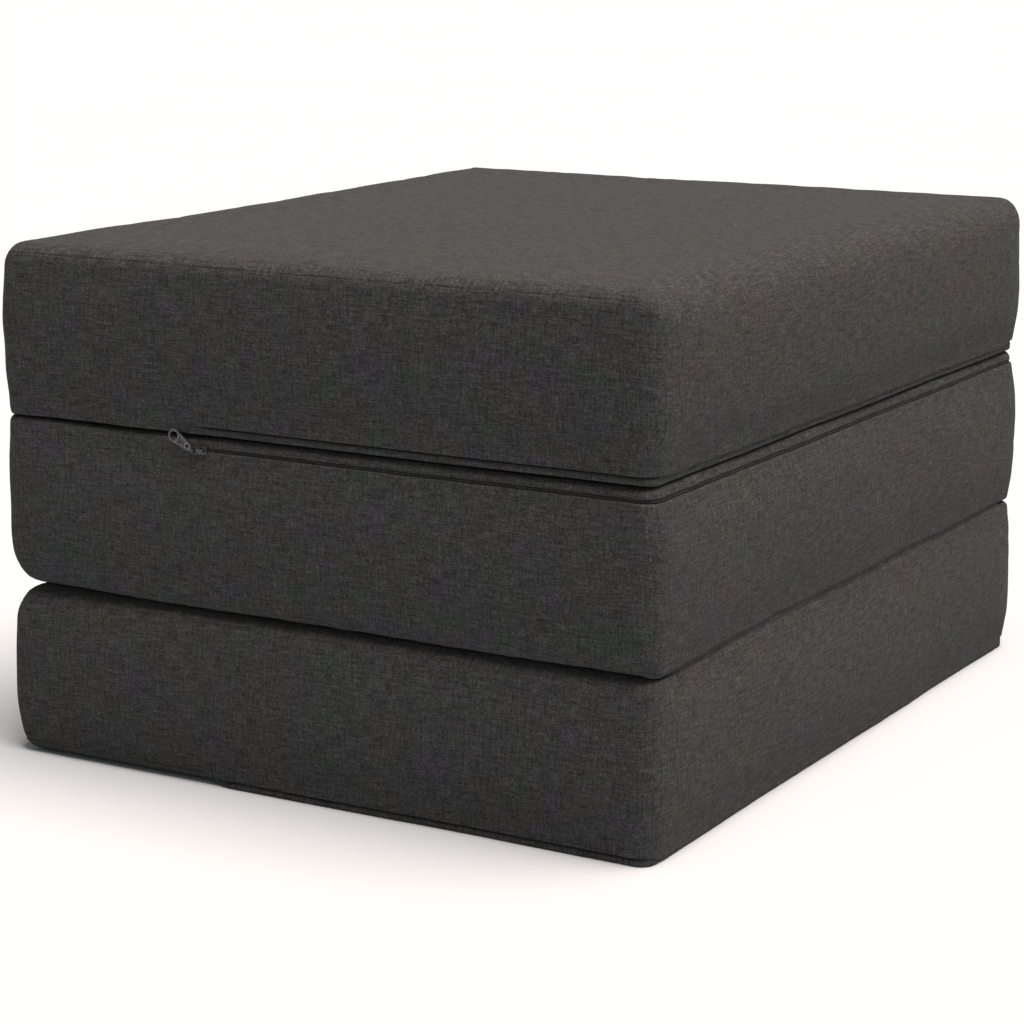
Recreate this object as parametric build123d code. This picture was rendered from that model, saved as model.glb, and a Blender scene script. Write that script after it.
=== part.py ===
from build123d import *
import math
import os

# A fold-out guest bed that folds into an ottoman. Three foam sections of one size lie in zipped
# linen-look covers and are stacked in a zigzag. A cloth hinge along the +X end joins the base
# section to the middle one at their sleeping faces. A second cloth hinge along the -X end joins
# the middle section to the top one at their zip faces. Opened out, the three sections lie end
# to end along X. X runs along the bed, Y across it and Z up, and the origin is the middle of
# the underside. All sizes are in millimetres.
#
# The three covers are alike. A section is modelled once with its zip face down and its slider
# at +Y, then placed: the base as it is, the middle one turned over about X, the top one raised.

# One section over its bulged faces, and how the sections stack
SECTION_LENGTH = 645.0
SECTION_WIDTH = 787.0
SECTION_THICKNESS = 151.0

# The soft form of a section: faces that swell, rounded edges, and the crown on the top one
FACE_BULGE = 4.0
TOP_CROWN = 3.6
CROWN_FOOT = 6.0
CORNER_RADIUS = 26.0
SLEEPING_EDGE_RADIUS = 20.0
ZIP_EDGE_RADIUS = 7.0

# The layers from the outside in. The foam fills the cover's height and is slack at its sides.
COVER_CLOTH = 1.5
TAPE_SLACK = 0.2
TAPE_CLOTH = 0.8
FOAM_SLACK = 0.3
FOAM_ZIP_EDGE_RADIUS = 10.0

# Cover seams: how far in from the side face the seam runs round a side panel
SIDE_SEAM_INSET = 7.0

# The zip that runs round three sides of a section near its zip face
ZIP_HEIGHT = 10.0
ZIP_START_FROM_END = 208.0
ZIP_SLOT_WIDTH = 6.0
TAPE_WIDTH = 8.4
TAPE_PARTING = 0.4
COIL_WIDTH = 1.7
COIL_PARTING = 0.2
COIL_DEPTH = 1.3
COIL_RECESS = 0.15
STOP_LENGTH = 3.0
STOP_WIDTH = 5.0
STOP_CLEARANCE = 0.2

# The slider: a plate over the coils, two flanges round them and a bridge for the bail
SLIDER_LENGTH = 11.0
SLIDER_NOSE_WIDTH = 8.0
SLIDER_TAIL_WIDTH = 6.4
SLIDER_PLATE = 1.4
SLIDER_GAP = 0.8
SLIDER_STOP_GAP = 0.5
SLIDER_EDGE = 0.4
FLANGE_THICKNESS = 0.6
FLANGE_CLEARANCE = 0.25
FLANGE_REACH = 1.1
BRIDGE_LENGTH = 7.0
BRIDGE_WIDTH = 2.4
BRIDGE_THICKNESS = 0.8

# The bail, a closed wire loop through the bridge, and the pull that hangs on it
BAIL_WIRE = 1.0
BAIL_CLEARANCE = 0.45
BAIL_LENGTH = 8.0
BAIL_SIDE_CLEARANCE = 0.8
BAIL_CORNER_RADIUS = 0.9
EYE_WIDTH = 2.0
EYE_BORE_RADIUS = 1.25
EYE_OUTER_RADIUS = 2.0
PULL_THICKNESS = 1.4
PULL_RING_DISTANCE = 21.0
PULL_RING_RADIUS = 5.5
PULL_RING_BORE_RADIUS = 4.0
PULL_NECK_DISTANCE = 4.4
PULL_NECK_RADIUS = 3.0
PULL_WINDOW_DISTANCE = 5.6
PULL_WINDOW_LENGTH = 3.6
PULL_WINDOW_WIDTH = 3.0
PULL_RIM = 1.1
PULL_RECESS = 0.35
BASE_PULL_TILT = 0.0
MIDDLE_PULL_TILT = -30.0
TOP_PULL_TILT = -8.0

# The cloth hinges: each is one strip, sewn to both covers and split here at its fold line
HINGE_OUTSET = 0.5
FLAP_THICKNESS = 1.2
FLAP_SEAT_GAP = 0.3
SLEEPING_FLAP_DEPTH = 25.0
ZIP_FLAP_DEPTH = 15.0

# Places that follow from the sizes above
MIDDLE_HEIGHT = SECTION_THICKNESS / 2
HALF_X = SECTION_LENGTH / 2 - CORNER_RADIUS
HALF_Y = SECTION_WIDTH / 2 - CORNER_RADIUS
BULGE_RADIUS = (MIDDLE_HEIGHT**2 + FACE_BULGE**2) / (2 * FACE_BULGE)
TAPE_INSET = COVER_CLOTH + TAPE_SLACK
FOAM_INSET = TAPE_INSET + TAPE_CLOTH + FOAM_SLACK
FOLD_X = SECTION_LENGTH / 2 + HINGE_OUTSET
ZIP_START_X = ZIP_START_FROM_END - SECTION_LENGTH / 2
COIL_START_X = ZIP_START_X + STOP_LENGTH + STOP_CLEARANCE
SLIDER_X = COIL_START_X + SLIDER_STOP_GAP + SLIDER_LENGTH / 2
BEYOND = SECTION_LENGTH + SECTION_WIDTH


def face_offset(height, inset=0.0):
    """How far a bulged face lies from the section's widest plane, at a height. It is negative."""
    rise = height - MIDDLE_HEIGHT
    return math.sqrt((BULGE_RADIUS - inset) ** 2 - rise**2) - BULGE_RADIUS


def region(x=(-BEYOND, BEYOND), y=(-BEYOND, BEYOND), z=(-BEYOND, BEYOND)):
    """A box between the limits given, used to keep or to cut one stretch of a piece."""
    middle = [(low + high) / 2 for low, high in (x, y, z)]
    size = [high - low for low, high in (x, y, z)]
    return Pos(*middle) * Box(*size)


def edge_profile(inset, flat_inset, zip_edge_radius):
    """The upright outline of an edge, from a corner's centre out to the bulged face."""
    low, high = flat_inset, SECTION_THICKNESS - flat_inset
    edge = CORNER_RADIUS + face_offset(low, inset)
    widest = CORNER_RADIUS - inset
    outline = make_face(
        [
            Line((0, low), (edge, low)),
            ThreePointArc((edge, low), (widest, MIDDLE_HEIGHT), (edge, high)),
            Line((edge, high), (0, high)),
            Line((0, high), (0, low)),
        ]
    )
    zip_corner = outline.vertices().sort_by_distance((edge, low))[0]
    outline = fillet(zip_corner, zip_edge_radius)
    sleeping_corner = outline.vertices().sort_by_distance((edge, high))[0]
    return fillet(sleeping_corner, SLEEPING_EDGE_RADIUS - inset)


def crown_cap(inset):
    """The low dome of an unloaded sleeping face: one Bezier patch, straight along its borders."""
    # a patch of three by three points rises to a quarter of its middle point
    heights = ((0, 0, 0), (0, 4 * TOP_CROWN, 0), (0, 0, 0))
    places = (-1, 0, 1)
    patch = Face.make_bezier_surface(
        [
            [(u * HALF_X, v * HALF_Y, height) for v, height in zip(places, row)]
            for u, row in zip(places, heights)
        ]
    )
    return Pos(0, 0, SECTION_THICKNESS - inset) * extrude(patch, CROWN_FOOT, dir=(0, 0, -1))


def section_form(inset, flat_inset, zip_edge_radius, crowned):
    """The whole soft form of a section, drawn in at its sides and at its two broad faces."""
    profile = edge_profile(inset, flat_inset, zip_edge_radius)
    end_plane = Plane(origin=(HALF_X, HALF_Y, 0), x_dir=(1, 0, 0), z_dir=(0, -1, 0))
    side_plane = Plane(origin=(-HALF_X, HALF_Y, 0), x_dir=(0, 1, 0), z_dir=(1, 0, 0))
    end = extrude(end_plane * profile, 2 * HALF_Y)
    side = extrude(side_plane * profile, 2 * HALF_X)
    corner = revolve(end_plane * profile, Axis((HALF_X, HALF_Y, 0), (0, 0, 1)), 90)
    corners = [corner, mirror(corner, about=Plane.YZ)]
    corners += [mirror(piece, about=Plane.XZ) for piece in corners]
    flats = (flat_inset, SECTION_THICKNESS - flat_inset)
    core = region((-HALF_X, HALF_X), (-HALF_Y, HALF_Y), flats)
    form = core + [end, mirror(end, about=Plane.YZ), side, mirror(side, about=Plane.XZ)] + corners
    return form + crown_cap(flat_inset) if crowned else form


def layer(outer_inset, inner_inset, crowned):
    """A closed skin between two insets of the section's form."""
    outer = section_form(outer_inset, outer_inset, ZIP_EDGE_RADIUS - outer_inset, crowned)
    return outer - section_form(inner_inset, inner_inset, ZIP_EDGE_RADIUS - inner_inset, crowned)


def cover_panels(crowned):
    """The cover: a wrap over the sleeping face and both ends, two side panels and a zip panel."""
    slot_low = ZIP_HEIGHT - ZIP_SLOT_WIDTH / 2
    slot_high = ZIP_HEIGHT + ZIP_SLOT_WIDTH / 2
    slot = region(x=(ZIP_START_X, BEYOND), z=(slot_low, slot_high))
    skin = layer(0.0, COVER_CLOTH, crowned) - slot
    over_zip = skin & region(z=(ZIP_HEIGHT, BEYOND))
    seam = SECTION_WIDTH / 2 - SIDE_SEAM_INSET
    return {
        "cover_wrap": over_zip & region(y=(-seam, seam)),
        "cover_slider_side": over_zip & region(y=(seam, BEYOND)),
        "cover_plain_side": over_zip & region(y=(-BEYOND, -seam)),
        "cover_zip_panel": skin & region(z=(-BEYOND, ZIP_HEIGHT)),
    }


def zip_fixed_pieces(crowned):
    """Both tapes, the meshed coils and the end stops, all along the three zipped sides."""
    tapes = layer(TAPE_INSET, TAPE_INSET + TAPE_CLOTH, crowned) & region(x=(ZIP_START_X, BEYOND))
    near, far = TAPE_PARTING / 2, TAPE_PARTING / 2 + TAPE_WIDTH
    # the zip panel's tape ends short of the flat zip face
    low = max(ZIP_HEIGHT - far, TAPE_INSET + TAPE_CLOTH)
    chain = layer(COIL_RECESS, COIL_RECESS + COIL_DEPTH, crowned)
    coils = chain & region(x=(COIL_START_X, BEYOND))
    inner, outer = COIL_PARTING / 2, COIL_PARTING / 2 + COIL_WIDTH
    upper_coil = coils & region(z=(ZIP_HEIGHT + inner, ZIP_HEIGHT + outer))
    lower_coil = coils & region(z=(ZIP_HEIGHT - outer, ZIP_HEIGHT - inner))
    stop_z = (ZIP_HEIGHT - STOP_WIDTH / 2, ZIP_HEIGHT + STOP_WIDTH / 2)
    return {
        "zip_tape_on_band": tapes & region(z=(ZIP_HEIGHT + near, ZIP_HEIGHT + far)),
        "zip_tape_on_panel": tapes & region(z=(low, ZIP_HEIGHT - near)),
        "zip_coils": upper_coil + lower_coil,
        "zip_stops": chain & region(x=(ZIP_START_X, ZIP_START_X + STOP_LENGTH), z=stop_z),
    }


def zip_slider():
    """The slider's plate, its two flanges round the coils and its bridge, at the +Y side."""
    face = SECTION_WIDTH / 2 + face_offset(ZIP_HEIGHT)
    half = SLIDER_LENGTH / 2
    # drawn from outside, so that local x runs towards -X and local y up
    plan = make_face(
        Polyline(
            (-half, -SLIDER_TAIL_WIDTH / 2),
            (half, -SLIDER_NOSE_WIDTH / 2),
            (half, SLIDER_NOSE_WIDTH / 2),
            (-half, SLIDER_TAIL_WIDTH / 2),
            close=True,
        )
    )
    seat = Plane(origin=(SLIDER_X, face + SLIDER_GAP, ZIP_HEIGHT), x_dir=(-1, 0, 0), z_dir=(0, 1, 0))
    plate = extrude(seat * plan, SLIDER_PLATE)
    plate = fillet(plate.edges().group_by(Axis.Y)[-1], SLIDER_EDGE)
    flange_low = COIL_PARTING / 2 + COIL_WIDTH + FLANGE_CLEARANCE
    flange_y = (face - FLANGE_REACH, face + SLIDER_GAP + SLIDER_PLATE / 2)
    flange = region(
        (SLIDER_X - half + SLIDER_EDGE, SLIDER_X + half - SLIDER_EDGE),
        flange_y,
        (ZIP_HEIGHT + flange_low, ZIP_HEIGHT + flange_low + FLANGE_THICKNESS),
    )
    other_flange = mirror(flange, about=Plane((0, 0, ZIP_HEIGHT)))
    top = face + SLIDER_GAP + SLIDER_PLATE
    opening = BAIL_WIRE + 2 * BAIL_CLEARANCE
    bridge = region(
        (SLIDER_X - BRIDGE_LENGTH / 2, SLIDER_X + BRIDGE_LENGTH / 2),
        (top - SLIDER_PLATE / 2, top + opening + BRIDGE_THICKNESS),
        (ZIP_HEIGHT - BRIDGE_WIDTH / 2, ZIP_HEIGHT + BRIDGE_WIDTH / 2),
    )
    bridge = fillet(bridge.edges().filter_by(Axis.Z).group_by(Axis.Y)[-1], BRIDGE_THICKNESS)
    bridge -= region(
        (SLIDER_X - BRIDGE_LENGTH / 2 + BRIDGE_THICKNESS, SLIDER_X + BRIDGE_LENGTH / 2 - BRIDGE_THICKNESS),
        (top, top + opening),
        (ZIP_HEIGHT - BRIDGE_WIDTH, ZIP_HEIGHT + BRIDGE_WIDTH),
    )
    return plate + [flange, other_flange, bridge]


def bail_axis():
    """Where the bail's wire passes through the bridge: the axis that the pull swings about."""
    face = SECTION_WIDTH / 2 + face_offset(ZIP_HEIGHT)
    return Vector(SLIDER_X, face + SLIDER_GAP + SLIDER_PLATE + BAIL_CLEARANCE + BAIL_WIRE / 2, ZIP_HEIGHT)


def zip_bail():
    """The wire loop, lying flat along the zip towards its start."""
    width = BRIDGE_WIDTH + 2 * BAIL_SIDE_CLEARANCE + BAIL_WIRE
    plane = Plane(origin=bail_axis(), x_dir=(-1, 0, 0), z_dir=(0, 1, 0))
    loop = Pos(BAIL_LENGTH / 2, 0) * RectangleRounded(BAIL_LENGTH, width, BAIL_CORNER_RADIUS)
    path = (plane * loop).face().outer_wire()
    start = path @ 0
    section = Plane(origin=start, z_dir=path % 0) * Circle(BAIL_WIRE / 2)
    return sweep(section, path=path)


def zip_pull(tilt):
    """The pull tab: an eye round the bail, a window, a shallow recess and a ring at its end."""
    ring = Pos(PULL_RING_DISTANCE, 0) * Circle(PULL_RING_RADIUS)
    neck = Pos(PULL_NECK_DISTANCE, 0) * Circle(PULL_NECK_RADIUS)
    outline = make_hull(ring.edges() + neck.edges())
    stem_length = PULL_NECK_DISTANCE + PULL_NECK_RADIUS / 2 - EYE_BORE_RADIUS
    stem = Pos(EYE_BORE_RADIUS + stem_length / 2, 0) * Rectangle(stem_length, EYE_WIDTH)
    bore = Pos(PULL_RING_DISTANCE, 0) * Circle(PULL_RING_BORE_RADIUS)
    window = Pos(PULL_WINDOW_DISTANCE, 0) * SlotOverall(PULL_WINDOW_LENGTH, PULL_WINDOW_WIDTH)
    inner_ring = Pos(PULL_RING_DISTANCE, 0) * Circle(PULL_RING_RADIUS - PULL_RIM)
    inner_neck = Pos(PULL_NECK_DISTANCE, 0) * Circle(PULL_NECK_RADIUS - PULL_RIM)
    hollow = make_hull(inner_ring.edges() + inner_neck.edges())
    hollow -= Pos(PULL_RING_DISTANCE, 0) * Circle(PULL_RING_BORE_RADIUS + PULL_RIM)
    hollow -= Pos(PULL_WINDOW_DISTANCE, 0) * SlotOverall(
        PULL_WINDOW_LENGTH + 2 * PULL_RIM, PULL_WINDOW_WIDTH + PULL_RIM
    )
    half = PULL_THICKNESS / 2
    plate = extrude(outline + stem, half, both=True) - extrude(bore + window, PULL_THICKNESS, both=True)
    plate -= Pos(0, 0, half - PULL_RECESS) * extrude(hollow, PULL_THICKNESS)
    barrel = Rot(90, 0, 0) * (Circle(EYE_OUTER_RADIUS) - Circle(EYE_BORE_RADIUS))
    eye = extrude(barrel, EYE_WIDTH / 2, both=True)
    plate -= Rot(90, 0, 0) * Cylinder(EYE_OUTER_RADIUS, EYE_WIDTH)
    far_bar = bail_axis() - Vector(BAIL_LENGTH, 0, 0)
    plane = Plane(origin=far_bar, x_dir=(-1, 0, 0), z_dir=(0, 1, 0))
    return plane * Rot(0, 0, tilt) * (plate + eye)


def hinge_flap(sleeping_side):
    """Half of a cloth hinge at the +X end, from its fold line down or up to its seam."""
    away = -1 if sleeping_side else 1
    fold_z = SECTION_THICKNESS if sleeping_side else 0
    foot_z = fold_z + away * (SLEEPING_FLAP_DEPTH if sleeping_side else ZIP_FLAP_DEPTH)
    foot_x = SECTION_LENGTH / 2 + face_offset(foot_z) + FLAP_SEAT_GAP
    plane = Plane(origin=(0, HALF_Y, 0), x_dir=(1, 0, 0), z_dir=(0, -1, 0))
    outline = make_face(
        Polyline(
            (FOLD_X, fold_z),
            (foot_x + FLAP_THICKNESS, foot_z),
            (foot_x, foot_z),
            (FOLD_X - FLAP_THICKNESS, fold_z),
            close=True,
        )
    )
    return extrude(plane * outline, 2 * HALF_Y)


def section_pieces(crowned, tilt):
    """Every piece of one section, zip face down and slider at +Y, by name."""
    pieces = {
        "foam_core": section_form(FOAM_INSET, COVER_CLOTH, FOAM_ZIP_EDGE_RADIUS, crowned),
        "zip_slider": zip_slider(),
        "zip_bail": zip_bail(),
        "zip_pull": zip_pull(tilt),
    }
    return pieces | cover_panels(crowned) | zip_fixed_pieces(crowned)


def build():
    """Every node by name, in the folded pose."""
    raised = Pos(0, 0, 2 * SECTION_THICKNESS)
    turned_over = raised * Rot(180, 0, 0)
    plain = section_pieces(False, BASE_PULL_TILT)
    other_plain = plain | {"zip_pull": zip_pull(MIDDLE_PULL_TILT)}
    crowned = section_pieces(True, TOP_PULL_TILT)
    sleeping_flap = hinge_flap(True)
    zip_flap = mirror(hinge_flap(False), about=Plane.YZ)
    nodes = {f"base_{name}": piece for name, piece in plain.items()}
    nodes["base_hinge_flap"] = sleeping_flap
    nodes |= {f"middle_{name}": turned_over * piece for name, piece in other_plain.items()}
    nodes["middle_lower_hinge_flap"] = turned_over * sleeping_flap
    nodes["middle_upper_hinge_flap"] = turned_over * zip_flap
    nodes |= {f"top_{name}": raised * piece for name, piece in crowned.items()}
    nodes["top_hinge_flap"] = raised * zip_flap
    return nodes


os.makedirs("parts", exist_ok=True)
for node, shape in build().items():
    export_step(shape, f"parts/{node}.step")
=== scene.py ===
import math

import bmesh
import bpy
import numpy as np
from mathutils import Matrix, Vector, noise
from mathutils.bvhtree import BVHTree
from mathutils.kdtree import KDTree


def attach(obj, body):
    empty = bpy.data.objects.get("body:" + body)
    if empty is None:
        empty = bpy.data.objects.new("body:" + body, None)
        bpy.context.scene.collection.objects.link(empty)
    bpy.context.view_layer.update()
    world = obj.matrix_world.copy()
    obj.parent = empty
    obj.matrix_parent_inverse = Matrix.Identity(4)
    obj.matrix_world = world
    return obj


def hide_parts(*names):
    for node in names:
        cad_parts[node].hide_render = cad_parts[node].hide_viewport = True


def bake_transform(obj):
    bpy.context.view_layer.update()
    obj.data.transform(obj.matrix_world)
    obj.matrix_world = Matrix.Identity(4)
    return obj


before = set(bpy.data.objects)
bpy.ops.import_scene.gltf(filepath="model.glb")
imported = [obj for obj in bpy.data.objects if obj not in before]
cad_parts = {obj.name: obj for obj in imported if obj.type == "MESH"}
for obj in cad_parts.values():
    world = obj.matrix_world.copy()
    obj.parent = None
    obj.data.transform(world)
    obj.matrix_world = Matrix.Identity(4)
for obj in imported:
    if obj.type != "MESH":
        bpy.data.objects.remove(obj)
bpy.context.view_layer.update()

# The folded guest bed: three soft cushions, their zips, and two cloth hinges. Each cushion is
# modelled in its own frame, zip face down and slider at +Y, as the CAD sections are, and then
# placed: the middle one is turned over about X. Lengths are in metres.

MM = 0.001

# sizes shared with the CAD model
LENGTH, WIDTH, THICK = 645 * MM, 787 * MM, 151 * MM
BULGE, CROWN = 4 * MM, 3.6 * MM
ZIP_Z = 10 * MM
ZIP_START = -114.5 * MM
FOLD_X = 323 * MM
BULGE_RADIUS = ((THICK / 2) ** 2 + BULGE**2) / (2 * BULGE)

# sizes of the soft form alone: its corner radius, how far in the grids of its broad faces start
# and how round the rows close on them, the depth of a zip's slot, and the size of its faces
CORNER = 20 * MM
CORE_INSET = 48 * MM
CORE_CORNER = 6 * MM
SLOT_DEPTH = 10.5 * MM
STEP = 7 * MM

# the cover's cloth simulation: the size of its coarse faces, the cloth's slack, its frames, the
# most that a point may move, and how much smaller and how round the coarse form is
COVER_VOXEL = 12 * MM
COVER_SLACK = {"base": 0.003, "middle": 0.005, "top": 0.004}
COVER_FRAMES = 20
COVER_CAP = 3.5 * MM
COVER_INSET = 4 * MM
COVER_ROUNDING = 17 * MM

# a section's seed for noise
SEEDS = {"base": 1, "middle": 2, "top": 3}

# Sizes given three at a time are those at the +X end, the -X end and the long sides.

# the radius of the sleeping face's edge, and what the long sides' grows by on the way to -X
SLEEP_RADIUS = {
    "base": (4.6 * MM, 40 * MM, 16.5 * MM),
    "middle": (4.6 * MM, 40 * MM, 16.5 * MM),
    "top": (22 * MM, 26 * MM, 16.5 * MM),
}
SLEEP_GROWTH = {"base": 8 * MM, "middle": 8 * MM, "top": 0.0}
GROWTH_FROM, GROWTH_TO = 140 * MM, 300 * MM
# the radius of the zip face's edge where there is no zip
ZIP_EDGE_RADIUS = {
    "base": (7 * MM, 36 * MM, 18 * MM),
    "middle": (7 * MM, 7 * MM, 7 * MM),
    "top": (7 * MM, 7 * MM, 4 * MM),
}
# how far the sides draw in towards the zip face, and the heights between which they do
ZIP_TAPER = (3.0 * MM, 0.5 * MM, 0.0)
TAPER_LOW, TAPER_HIGH = 8 * MM, 48 * MM
# where along X a long side's slot starts to open and is fully open
SLOT_SHUT, SLOT_OPEN = ZIP_START - 2 * MM, ZIP_START + 30 * MM
# the roll between a zip and the zip face: the height and depth of its rounding at the face, and
# how far it lies inside the body at the +X end and elsewhere; then its rounding beside the slot
ROLLS = {
    "base": {"high": 1.8 * MM, "deep": 1.4 * MM, "inset_x": 1.4 * MM, "inset_y": 0.9 * MM},
    "middle": {"high": 8.4 * MM, "deep": 8.5 * MM, "inset_x": 1.8 * MM, "inset_y": 2.2 * MM},
    "top": {"high": 2.0 * MM, "deep": 2.0 * MM, "inset_x": 2.2 * MM, "inset_y": 1.7 * MM},
}
ROLL_ROUND_DEEP, ROLL_ROUND_HIGH = 1.8 * MM, 2.4 * MM
# half the height of the slot, the tapes' edges as a share of it, and how far these lie inside
# the roll
SLOT_HALF = {
    "base": (0.6 * MM, 0.3 * MM, 0.42 * MM),
    "middle": (1.8 * MM, 0.3 * MM, 1.4 * MM),
    "top": (0.6 * MM, 0.3 * MM, 0.42 * MM),
}
RIDGE_SHARE = 0.66
RIDGE_RECESS = 0.6 * MM
# how far the body sags over its zip along the +X end and along the front; and how far from the
# back corner the first starts and from either corner it is full
SAG_END = {"base": 9.3 * MM, "middle": 0.0, "top": 3.6 * MM}
SAG_FRONT = {"base": 3.8 * MM, "middle": 0.0, "top": 1.2 * MM}
SAG_RAMP = (20 * MM, 34 * MM)
# the radius of the lip over a zip
LIP_RADIUS = {
    "base": (1.2 * MM, 1.0 * MM, 1.1 * MM),
    "middle": (2.4 * MM, 1.0 * MM, 1.5 * MM),
    "top": (1.9 * MM, 1.0 * MM, 1.5 * MM),
}
# how far the rim of the zip face stands clear of the section that it rests on
RIM = {"base": 0.0, "middle": 0.0, "top": 2.2 * MM}
RIM_DEPTH = 16 * MM

# the depth of the side panels' seams, how much less it is at the +X end, the share by which the
# cloth stands up beside them, and the depth of the seams down the corners
SEAM_DEPTH, SEAM_FADE = 0.85 * MM, 0.40 * MM
SEAM_RIDGE = 0.17
CORNER_SEAM_DEPTH = 0.4 * MM
# how far the looser cloth of the -X end reaches from it
LOOSE_REACH = 60 * MM
# places along Y of the pinches on the top cushion's -X end, their depths and their reach
PINCHES = [(-0.190, 0.0016, 0.020), (-0.015, 0.0013, 0.022), (0.262, 0.0012, 0.018)]
# how far the top section stands clear of the middle one
CLEARANCE = 0.05 * MM

# the profile's rows: shares of the way to the sleeping face's edge, degrees round that edge,
# steps down the side, the shares of the zip face's rim, and the shares of the way to its core
FACE_SHARES = (0.0, 0.25, 0.5, 0.75, 0.92)
EDGE_DEGREES = (90, 80, 70, 60, 50, 42, 36, 32, 29.5, 27, 24, 20, 14, 7, 0)
SIDE_STEPS = 17
RIM_SHARES = (0.25, 0.6, 1.0)
CORE_SHARES = (0.5, 1.0)
SEAM_ROW = len(FACE_SHARES) + EDGE_DEGREES.index(29.5)
# the slot's rows, counted from the lip, and those of them whose faces are tape
SLOT_FIRST, SLOT_LAST = 5, 14
TAPE_ROWS = (6, 7, 8, 12, 13, 14)
# the directions of the rows' samples round a corner, in degrees
CORNER_TURNS = (0, 11, 22, 32, 39, 43, 45, 47, 51, 58, 68, 79)

# the zip's coil: how far in it runs, its pitch and points round, its half size outwards and up,
# half the distance between its two halves, and how thin it is between its ribs
COIL_INSET = 10.2 * MM
COIL_PITCH = 0.75 * MM
COIL_RING = 6
COIL_DEEP, COIL_HIGH = 1.1 * MM, 0.72 * MM
COIL_APART = 0.42 * MM
COIL_WAIST = 0.62
# the zip's end stops: size, rounding, and place from the zip's start and in from the side
STOP_SIZE = (3 * MM, 1.6 * MM, 4.2 * MM)
STOP_ROUNDING = 0.5 * MM
STOP_AFTER, STOP_INSET = 4 * MM, 6.0 * MM

# a hinge strip: the share of its half that spans the fold between its cushions, the points on
# each half and the step between them along it, its thickness, how far it lies inside the
# cushions' surface, and how much further at its ends
HINGE_BRIDGE = 0.16
HINGE_POINTS = 12
HINGE_STEP = 6 * MM
HINGE_THICK = 1.1 * MM
HINGE_SUNK = 1.9 * MM
HINGE_TUCK = 3 * MM

# what the floor throws back on to the object, the light of the sky, and how the sky looks
FLOOR_BOUNCE = (0.48, 0.53, 0.58, 1)
SKY_FILL, SKY_STRENGTH = (0.94, 0.98, 1.0, 1), 0.149
SKY_SHOWN = (0.8, 0.8, 0.8, 1)
SUN_STRENGTH, SUN_COLOUR, SUN_ANGLE = 3.30, (1.0, 0.92, 0.86), 45
SUN_PLACE, SUN_TARGET = (1.20, -0.05, 4.0), (0, 0, 0.2)
# the camera of the photo: focal length and sensor in millimetres, place, and angles in degrees
LENS, SENSOR = 99.1, 36
CAMERA_PLACE = (1.2718, -2.2482, 0.7486)
CAMERA_DOWN, CAMERA_ROUND = 12.495, 30.1567

SECTIONS = {
    "base": {"turned": False, "lift": 0.0},
    "middle": {"turned": True, "lift": 2 * THICK},
    "top": {"turned": False, "lift": 2 * THICK},
}


def smooth(x, low, high):
    """0 below low, 1 above high and an even ramp between."""
    t = np.clip((x - low) / (high - low), 0, 1)
    return t * t * (3 - 2 * t)


def bulge(z):
    """How far a side face lies inside its widest plane, at a height; negative."""
    return np.sqrt(BULGE_RADIUS**2 - (z - THICK / 2) ** 2) - BULGE_RADIUS


def noise_at(points, size, seed):
    """Smooth noise in -1..1 at the points, with features of about that size."""
    shift = Vector((seed * 17.3, seed * 5.1, seed * 9.7))
    return np.array([noise.noise(Vector(p) / size + shift) for p in points])


def perimeter():
    """Samples round a section: side or corner, place along it, outward normal."""
    ny = int(WIDTH / STEP)
    nx = int(LENGTH / STEP)
    samples = []
    for quarter in range(4):
        count = ny if quarter % 2 == 0 else nx
        angle = quarter * math.pi / 2
        for i in range(count):
            samples.append(("side", quarter, -1 + 2 * i / count, angle))
        for turn in CORNER_TURNS:
            samples.append(("corner", quarter, 0.0, angle + math.radians(turn)))
    return samples, nx, ny


SAMPLES, NX, NY = perimeter()
ANGLES = np.array([s[3] for s in SAMPLES])
NORMAL_X, NORMAL_Y = np.cos(ANGLES), np.sin(ANGLES)


def place(outset, radius):
    """Plan positions of every sample, for an outset and a corner radius at each of them."""
    half_x = LENGTH / 2 + outset - radius
    half_y = WIDTH / 2 + outset - radius
    xy = np.zeros((len(SAMPLES), 2))
    for i, (kind, quarter, along, angle) in enumerate(SAMPLES):
        hx, hy, r = half_x[i], half_y[i], radius[i]
        if kind == "side":
            if quarter == 0:
                xy[i] = (hx + r, along * hy)
            elif quarter == 1:
                xy[i] = (-along * hx, hy + r)
            elif quarter == 2:
                xy[i] = (-hx - r, -along * hy)
            else:
                xy[i] = (along * hx, -hy - r)
        else:
            sx = 1 if quarter in (0, 3) else -1
            sy = 1 if quarter in (0, 1) else -1
            xy[i] = (sx * hx + r * math.cos(angle), sy * hy + r * math.sin(angle))
    return xy


def by_side(plus_x, minus_x, y_sides):
    """A value at each sample, blended round the corners from what the sides have."""
    wx = np.clip(NORMAL_X, 0, 1) ** 2
    wmx = np.clip(-NORMAL_X, 0, 1) ** 2
    wy = NORMAL_Y**2
    return plus_x * wx + minus_x * wmx + y_sides * wy


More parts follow.
